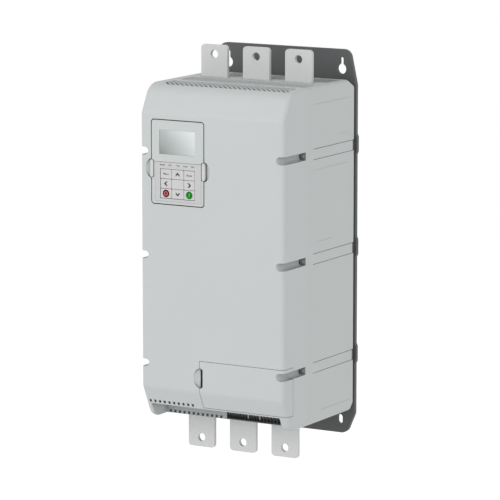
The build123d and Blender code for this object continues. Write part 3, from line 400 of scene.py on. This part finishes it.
cover_plastic = moulded("cover_plastic", COVER_GREY, dust_and_shade=0.30, hollow_shade=0.7)
rear_plastic = moulded("rear_plastic", REAR_GREY, dust_and_shade=0.40, hollow_shade=0.65)
# Painted shade: the tray's darker grey stands in for the shade under the lip
tray_plastic = moulded("tray_plastic", TRAY_SHADED_GREY, roughness=0.6, edge_tint=(0.45, 0.46, 0.46))
bezel_plastic = moulded("bezel_plastic", BEZEL_GREY, roughness=0.45, grain=2000.0, depth=0.015,
                        hollow_shade=0.6)
overlay_film = moulded("overlay_film", OVERLAY_GREY, roughness=0.42, mottle=0.03, grain=2600.0,
                       depth=0.01)
key_rubber = moulded("key_rubber", KEY_GREY, roughness=0.5, mottle=0.03, grain=2600.0, depth=0.01)
latch_plastic = moulded("latch_plastic", LATCH_GREY, roughness=0.45, depth=0.015)
print_ink = moulded("print_ink", PRINT_BLACK, roughness=0.5, mottle=0.2, depth=0.005,
                    edge_tint=(0.06, 0.06, 0.06))
line_ink = moulded("line_ink", LINE_GREY, roughness=0.5, mottle=0.1, depth=0.005,
                   edge_tint=(0.3, 0.3, 0.3))
divider_ink = moulded("divider_ink", DIVIDER_GREY, roughness=0.5, mottle=0.1, depth=0.005,
                      edge_tint=(0.2, 0.2, 0.2))
stop_ink = moulded("stop_ink", STOP_RED, roughness=0.35, mottle=0.12, depth=0.005,
                   edge_tint=STOP_RED, specular=0.15)
stop_mark_ink = moulded("stop_mark_ink", MARK_RED, roughness=0.4, depth=0.005,
                        edge_tint=MARK_RED)
start_ink = moulded("start_ink", START_GREEN, roughness=0.35, mottle=0.12, depth=0.005,
                    edge_tint=START_GREEN, specular=0.15)
start_mark_ink = moulded("start_mark_ink", MARK_GREEN, roughness=0.4, depth=0.005,
                         edge_tint=MARK_GREEN)
module_plastic = moulded("module_plastic", MODULE_BLACK, roughness=0.5, mottle=0.15,
                         edge_tint=(0.08, 0.08, 0.085), dust_and_shade=0.3)
plug_plastic = moulded("plug_plastic", BLACK, roughness=0.55, mottle=0.15,
                       edge_tint=(0.05, 0.05, 0.052), edge_share=0.3)
fan_plastic = moulded("fan_plastic", FAN_BLACK, roughness=0.45, mottle=0.2,
                      edge_tint=(0.06, 0.06, 0.06), dust_and_shade=0.4)
plate_coat = powder_coat("plate_coat", PLATE_GREY)
tin_plate = metal("tin_plate", TIN, 0.48, streak=420.0, tone=0.04, metallic=0.2)
zinc_plate = metal("zinc_plate", ZINC, 0.35, streak=900.0, tone=0.15)
dark_steel = metal("dark_steel", SCREW_STEEL, 0.45, streak=900.0, tone=0.15)
sink_metal = metal("sink_metal", ALUMINIUM, 0.38, streak=700.0, tone=0.10)
solder_mask = board_finish("solder_mask")
screen_painted_reflection = painted_reflection_screen("screen_face", *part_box("display_window"))

FINISHES = {
    "front_cover": cover_plastic, "terminal_cover": cover_plastic, "rear_housing": rear_plastic,
    "control_tray": tray_plastic, "mounting_plate": plate_coat, "heat_sink": sink_metal,
    "keypad_bezel": bezel_plastic, "keypad_back": tray_plastic, "keypad_board": solder_mask,
    "gate_board": solder_mask, "control_board": solder_mask, "display_module": module_plastic,
    "display_window": screen_painted_reflection, "terminal_header": plug_plastic, "hinge_pin": zinc_plate,
}
PREFIX_FINISHES = (
    ("line_busbar", tin_plate), ("load_busbar", tin_plate), ("thyristor", module_plastic),
    ("bypass", module_plastic), ("current_transformer", module_plastic), ("fan_", fan_plastic),
    ("terminal_plug", plug_plastic), ("latch_", latch_plastic), ("key_", key_rubber),
    ("board_posts", zinc_plate), ("board_screws", zinc_plate), ("plate_screws", zinc_plate),
    ("module_screws", zinc_plate), ("cover_screws", zinc_plate), ("busbar_bolts", zinc_plate),
)


def finish_of(name):
    """Material of a node, by its full name or the start of its name."""
    if name in FINISHES:
        return FINISHES[name]
    return next(material for prefix, material in PREFIX_FINISHES if name.startswith(prefix))


def dress_nodes():
    """Gives every carried over node its own finish."""
    for name, piece in nodes.items():
        piece.data.materials.clear()
        piece.data.materials.append(finish_of(name))


# Modelling helpers

def settle(piece, name, material, body):
    """Puts a finished piece's place into its mesh and hands it to its body."""
    piece.name = name
    piece.data.name = name
    bpy.ops.object.select_all(action="DESELECT")
    piece.select_set(True)
    bpy.context.view_layer.objects.active = piece
    bpy.ops.object.transform_apply(location=True, rotation=True, scale=True)
    piece.data.materials.clear()
    piece.data.materials.append(material)
    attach(piece, body)
    piece.select_set(False)
    return piece


def pick(piece, kind, test):
    """Selects only those faces, edges or corners whose middle passes the test."""
    bpy.ops.object.mode_set(mode="OBJECT")
    mesh = piece.data
    for parts in (mesh.vertices, mesh.edges, mesh.polygons):
        parts.foreach_set("select", [False] * len(parts))
    for part in getattr(mesh, kind):
        ends = [mesh.vertices[i].co for i in getattr(part, "vertices", [part.index])]
        part.select = test(sum(ends, Vector()) / len(ends))
    modes = {"vertices": (True, False, False), "edges": (False, True, False),
             "polygons": (False, False, True)}
    bpy.context.tool_settings.mesh_select_mode = modes[kind]
    bpy.ops.object.mode_set(mode="EDIT")


def add_block(low, high, bevel):
    """Block between two corners with rounded edges."""
    bpy.ops.object.select_all(action="DESELECT")
    low, high = Vector(low), Vector(high)
    bpy.ops.mesh.primitive_cube_add(size=1, location=(low + high) / 2)
    piece = bpy.context.object
    piece.scale = high - low
    bpy.ops.object.transform_apply(location=True, rotation=True, scale=True)
    bpy.ops.object.mode_set(mode="EDIT")
    bpy.ops.mesh.select_all(action="SELECT")
    bpy.ops.mesh.bevel(offset=bevel, segments=2, affect="EDGES")
    bpy.ops.object.mode_set(mode="OBJECT")
    return piece


dress_nodes()

# Keypad prints

FRONT = -196.75 * MM
KEY_FACE = -196.60 * MM
FILM = 0.10 * MM
INK = 0.06 * MM
FILM_LEFT, FILM_RIGHT, FILM_LOW, FILM_HIGH = -84.9 * MM, -15.1 * MM, 68.6 * MM, 120.5 * MM
FILM_KEY_GAP = 0.5 * MM
KEY_WORD_SIZE = 3.6 * MM
LABEL_SIZE = 3.0 * MM
LABEL_Z = 116.4 * MM
LABELS = (("Ready", -74.0), ("Run", -62.0), ("Trip", -50.2), ("Local", -39.0), ("Net", -28.0))
FIELD_R = 5.0 * MM
FIELD_LIFT = 0.12 * MM
MARK_LIFT = 0.14 * MM


def key_middle(name):
    """Middle of a key in x and z."""
    low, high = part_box(name)
    return (low.x + high.x) / 2, (low.z + high.z) / 2


def stand_up(piece, x, y, z, turn=0.0):
    """Turns a piece that was drawn flat so that it faces the front, and puts it in place."""
    piece.matrix_world = (Matrix.Translation((x, y, z)) @ Matrix.Rotation(radians(90), 4, "X")
                          @ Matrix.Rotation(radians(turn), 4, "Z"))


def chevron(name, key, turn):
    """Arrow head printed on a key, drawn from its apex by pulling out both arms."""
    arm, thick, apex = 2.7 * MM, 2.6 * MM, 0.4 * MM
    bpy.ops.object.select_all(action="DESELECT")
    bpy.ops.mesh.primitive_plane_add(size=1)
    piece = bpy.context.object
    piece.scale = (apex, thick, 1)
    bpy.ops.object.transform_apply(location=True, rotation=True, scale=True)
    for side in (-1, 1):
        pick(piece, "edges", lambda middle: middle.x * side > apex * 0.4)
        bpy.ops.mesh.extrude_region_move(
            TRANSFORM_OT_translate={"value": (side * arm, -arm, 0)})
    bpy.ops.mesh.select_all(action="SELECT")
    bpy.ops.transform.translate(value=(0, arm / 2, 0))
    bpy.ops.mesh.extrude_region_move(TRANSFORM_OT_translate={"value": (0, 0, INK)})
    bpy.ops.mesh.select_all(action="SELECT")
    bpy.ops.mesh.normals_make_consistent(inside=False)
    bpy.ops.object.mode_set(mode="OBJECT")
    x, z = key_middle(key)
    stand_up(piece, x, KEY_FACE, z, turn)
    return settle(piece, name, print_ink, key)


def words(name, text, size, x, z, y, material, body):
    """Small printed word, as a thin raised print."""
    bpy.ops.object.select_all(action="DESELECT")
    bpy.ops.object.text_add()
    label = bpy.context.object
    label.data.body = text
    label.data.size = size
    label.data.align_x = "CENTER"
    label.data.align_y = "CENTER"
    label.data.extrude = INK / 2
    label.data.offset = 0.05 * MM
    label.data.resolution_u = 3
    bpy.ops.object.convert(target="MESH")
    piece = bpy.context.object
    stand_up(piece, x, y, z)
    return settle(piece, name, material, body)


def round_print(name, key, radius, material, lift):
    """Round printed field on a key with a softly domed rim."""
    x, z = key_middle(key)
    bpy.ops.object.select_all(action="DESELECT")
    bpy.ops.mesh.primitive_cylinder_add(vertices=64, radius=radius, depth=lift)
    piece = bpy.context.object
    pick(piece, "polygons", lambda middle: middle.z > lift * 0.4)
    bpy.ops.mesh.inset(thickness=0.25 * MM)
    bpy.ops.transform.translate(value=(0, 0, lift * 0.3))
    bpy.ops.object.mode_set(mode="OBJECT")
    stand_up(piece, x, KEY_FACE, z)
    return settle(piece, name, material, key)


def ring_mark(name, key, radius, width, material, lift):
    """Ring printed on a round field."""
    x, z = key_middle(key)
    bpy.ops.object.select_all(action="DESELECT")
    bpy.ops.mesh.primitive_torus_add(major_radius=radius, minor_radius=width,
                                     major_segments=48, minor_segments=10)
    piece = bpy.context.object
    piece.scale = (1, 1, 0.25)
    bpy.ops.object.transform_apply(location=True, rotation=True, scale=True)
    bpy.ops.object.shade_smooth()
    stand_up(piece, x, KEY_FACE - lift, z)
    return settle(piece, name, material, key)


def bar_mark(name, key, width, height, material, lift):
    """Upright bar printed on a round field."""
    x, z = key_middle(key)
    piece = add_block((x - width / 2, KEY_FACE - lift - INK, z - height / 2),
                      (x + width / 2, KEY_FACE - lift + INK, z + height / 2), INK * 0.6)
    return settle(piece, name, material, key)


def keypad_film():
    """Printed film over the lower part of the keypad, open round the key field."""
    left, right, low, high = FILM_LEFT, FILM_RIGHT, FILM_LOW, FILM_HIGH
    bpy.ops.object.select_all(action="DESELECT")
    bpy.ops.mesh.primitive_plane_add(size=1)
    piece = bpy.context.object
    piece.scale = (right - left, high - low, 1)
    bpy.ops.object.transform_apply(location=True, rotation=True, scale=True)
    keys_low, keys_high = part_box("key_stop")[0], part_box("key_reset")[1]
    middle_x, middle_z = (left + right) / 2, (low + high) / 2
    x0, x1 = keys_low.x - FILM_KEY_GAP - middle_x, keys_high.x + FILM_KEY_GAP - middle_x
    z0, z1 = keys_low.z - FILM_KEY_GAP - middle_z, keys_high.z + FILM_KEY_GAP - middle_z
    bpy.ops.object.mode_set(mode="EDIT")
    for place, normal in (((x0, 0, 0), (1, 0, 0)), ((x1, 0, 0), (1, 0, 0)),
                          ((0, z0, 0), (0, 1, 0)), ((0, z1, 0), (0, 1, 0))):
        bpy.ops.mesh.select_all(action="SELECT")
        bpy.ops.mesh.bisect(plane_co=place, plane_no=normal)
    pick(piece, "polygons", lambda middle: x0 < middle.x < x1 and z0 < middle.y < z1)
    bpy.ops.mesh.delete(type="FACE")
    bpy.ops.mesh.select_all(action="SELECT")
    bpy.ops.mesh.extrude_region_move(TRANSFORM_OT_translate={"value": (0, 0, FILM)})
    bpy.ops.mesh.select_all(action="SELECT")
    bpy.ops.mesh.normals_make_consistent(inside=False)
    bpy.ops.object.mode_set(mode="OBJECT")
    stand_up(piece, middle_x, FRONT, middle_z)
    settle(piece, "keypad_film", overlay_film, "housing")
    thin, thick = 0.25 * MM, 0.45 * MM
    for name, x0, x1, z0, z1 in (
            ("film_line_top", left, right, high - thick, high),
            ("film_line_foot", left, right, low, low + thin),
            ("film_line_right", right - thin, right, low, high - thick),
            ("film_line_left", left, left + thin, low, high - thick)):
        line = add_block((x0, FRONT - FILM - INK, z0), (x1, FRONT - FILM + INK, z1), INK * 0.5)
        ink = divider_ink if name == "film_line_top" else line_ink
        settle(line, name, ink, "housing")


keypad_film()
for arrow, key, turn in (("arrow_up", "key_up", 0), ("arrow_left", "key_left", 90),
                         ("arrow_down", "key_down", 180), ("arrow_right", "key_right", 270)):
    chevron(arrow, key, turn)
for label, text, key in (("menu_word", "Menu", "key_menu"), ("reset_word", "Reset", "key_reset")):
    key_x, key_z = key_middle(key)
    words(label, text, KEY_WORD_SIZE, key_x, key_z, KEY_FACE, print_ink, key)
for text, label_x in LABELS:
    words("label_" + text.lower(), text, LABEL_SIZE, label_x * MM, LABEL_Z, FRONT - FILM,
          print_ink, "housing")
round_print("stop_field", "key_stop", FIELD_R, stop_ink, FIELD_LIFT)
ring_mark("stop_ring", "key_stop", 2.25 * MM, 0.62 * MM, stop_mark_ink, MARK_LIFT)
round_print("start_field", "key_start", FIELD_R, start_ink, FIELD_LIFT)
bar_mark("start_bar", "key_start", 1.5 * MM, 4.6 * MM, start_mark_ink, MARK_LIFT)


# Small hardware and raised lines

# Poles, pitch and end wall of each plug, in mm
PLUGS = ((8, 3.81, 1.0), (4, 3.81, 0.9), (6, 5.08, 0.0))
WELL_FLOOR = -143.2 * MM
WELL_Z = -216.0 * MM
SCREW_R = 1.2 * MM
SCREW_T = 0.5 * MM
TAB_LOW = -219.4 * MM
TAB_HALF = 0.5 * MM

# Height, front end and rear end of each line, in mm
SIDE_LINES = ((197.7, -121, -21), (112.4, -120, -26), (152.5, -48, -26), (17.5, -111, -69),
              (-207.9, -100, -17))
SIDE_FACE = 108.0 * MM
LINE_RISE = 0.2 * MM
LINE_HALF = 0.25 * MM


def plug_screws(number, poles, pitch, end):
    """Clamp screws sunk in the wells of one plug."""
    low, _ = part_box("terminal_plug_%d" % number)
    bpy.ops.object.select_all(action="DESELECT")
    for i in range(poles):
        x = low.x + (end + (i + 0.5) * pitch) * MM
        place = {"location": (x, WELL_FLOOR - SCREW_T / 2, WELL_Z), "rotation": (radians(90), 0, 0)}
        bpy.ops.mesh.primitive_cylinder_add(vertices=24, radius=SCREW_R, depth=SCREW_T, **place)
        if i == 0:
            piece = bpy.context.object
            bpy.ops.object.transform_apply(location=True, rotation=True, scale=True)
            bpy.ops.object.mode_set(mode="EDIT")
    bpy.ops.object.mode_set(mode="OBJECT")
    return settle(piece, "plug_screws_%d" % number, dark_steel, "housing")


def plug_tab(number):
    """Light coding tab at the right end of one plug."""
    low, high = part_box("terminal_plug_%d" % number)
    tab = add_block((high.x - TAB_HALF, low.y - 0.4 * MM, TAB_LOW),
                    (high.x + TAB_HALF, low.y + 0.2 * MM, high.z - 0.2 * MM), 0.1 * MM)
    return settle(tab, "plug_tab_%d" % number, latch_plastic, "housing")


def side_line(name, side, z, rear, front):
    """Fine raised line moulded on a side of the rear housing."""
    inner, outer = side * SIDE_FACE, side * (SIDE_FACE + LINE_RISE)
    low = (min(inner, outer), front * MM, z * MM - LINE_HALF)
    high = (max(inner, outer), rear * MM, z * MM + LINE_HALF)
    return settle(add_block(low, high, 0.08 * MM), name, rear_plastic, "housing")


for number, (poles, pitch, end) in enumerate(PLUGS, 1):
    plug_screws(number, poles, pitch, end)
plug_tab(1)
plug_tab(2)
for number, (z, front, rear) in enumerate(SIDE_LINES, 1):
    side_line("side_line_right_%d" % number, 1, z, rear, front)
    side_line("side_line_left_%d" % number, -1, z, rear, front)


# Stage, light and camera

def seen_directly(tree):
    """One for rays from the camera, from a reflection or through glass, and zero for light."""
    rays = tree.nodes.new("ShaderNodeLightPath")
    return math_node(tree, "MAXIMUM", rays.outputs["Is Camera Ray"],
                     math_node(tree, "MAXIMUM", rays.outputs["Is Glossy Ray"],
                               rays.outputs["Is Transmission Ray"]))


def build_floor():
    """White floor that shines just enough to vanish into the background."""
    bpy.ops.object.select_all(action="DESELECT")
    bpy.ops.mesh.primitive_plane_add(size=FLOOR_SIZE, location=(0, 0, FLOOR_Z))
    floor = bpy.context.object
    floor.name = "studio_floor"
    material, tree, shader = new_material("studio_floor")
    shader.inputs["Base Color"].default_value = (0.86, 0.86, 0.86, 1)
    shader.inputs["Roughness"].default_value = 0.9
    shader.inputs["Specular IOR Level"].default_value = 0.0
    seen = seen_directly(tree)
    shader.inputs["Emission Color"].default_value = (1, 1, 1, 1)
    tree.links.new(math_node(tree, "MULTIPLY", seen, FLOOR_GLOW),
                   shader.inputs["Emission Strength"])
    floor.data.materials.append(material)


def build_world():
    """White background whose light is dimmer straight above."""
    world = bpy.data.worlds.new("studio")
    bpy.context.scene.world = world
    world.use_nodes = True
    tree = world.node_tree
    background = tree.nodes["Background"]
    background.inputs["Color"].default_value = (1, 1, 1, 1)
    seen = seen_directly(tree)
    place = tree.nodes.new("ShaderNodeTexCoord")
    split = tree.nodes.new("ShaderNodeSeparateXYZ")
    tree.links.new(place.outputs["Generated"], split.inputs[0])
    above = math_node(tree, "MULTIPLY", split.outputs["Z"], CEILING_LOSS, True)
    light = math_node(tree, "SUBTRACT", AMBIENT, above)
    unlit = math_node(tree, "SUBTRACT", 1.0, light)
    strength = math_node(tree, "ADD", light, math_node(tree, "MULTIPLY", seen, unlit))
    tree.links.new(strength, background.inputs["Strength"])


def add_lamp(name, place, target, size, power):
    """Square area lamp that looks at its target."""
    lamp = bpy.data.lights.new(name, "AREA")
    lamp.shape = "SQUARE"
    lamp.size = size
    lamp.energy = power
    holder = bpy.data.objects.new(name, lamp)
    bpy.context.scene.collection.objects.link(holder)
    holder.location = place
    holder.rotation_euler = (Vector(target) - Vector(place)).to_track_quat("-Z", "Y").to_euler()


build_floor()
build_world()
for lamp_name, lamp_place, lamp_power in LAMPS:
    add_lamp(lamp_name, lamp_place, LAMP_TARGET, LAMP_SIZE, lamp_power)

camera = bpy.data.cameras.new("photo_camera")
camera.sensor_width = 36.0
camera.lens = CAMERA_LENS
camera.clip_end = 200.0
camera_holder = bpy.data.objects.new("photo_camera", camera)
bpy.context.scene.collection.objects.link(camera_holder)
camera_holder.location = CAMERA_AT
camera_holder.rotation_euler = [radians(angle) for angle in CAMERA_TURN]
bpy.context.scene.camera = camera_holder
bpy.context.scene.view_settings.view_transform = "Standard"
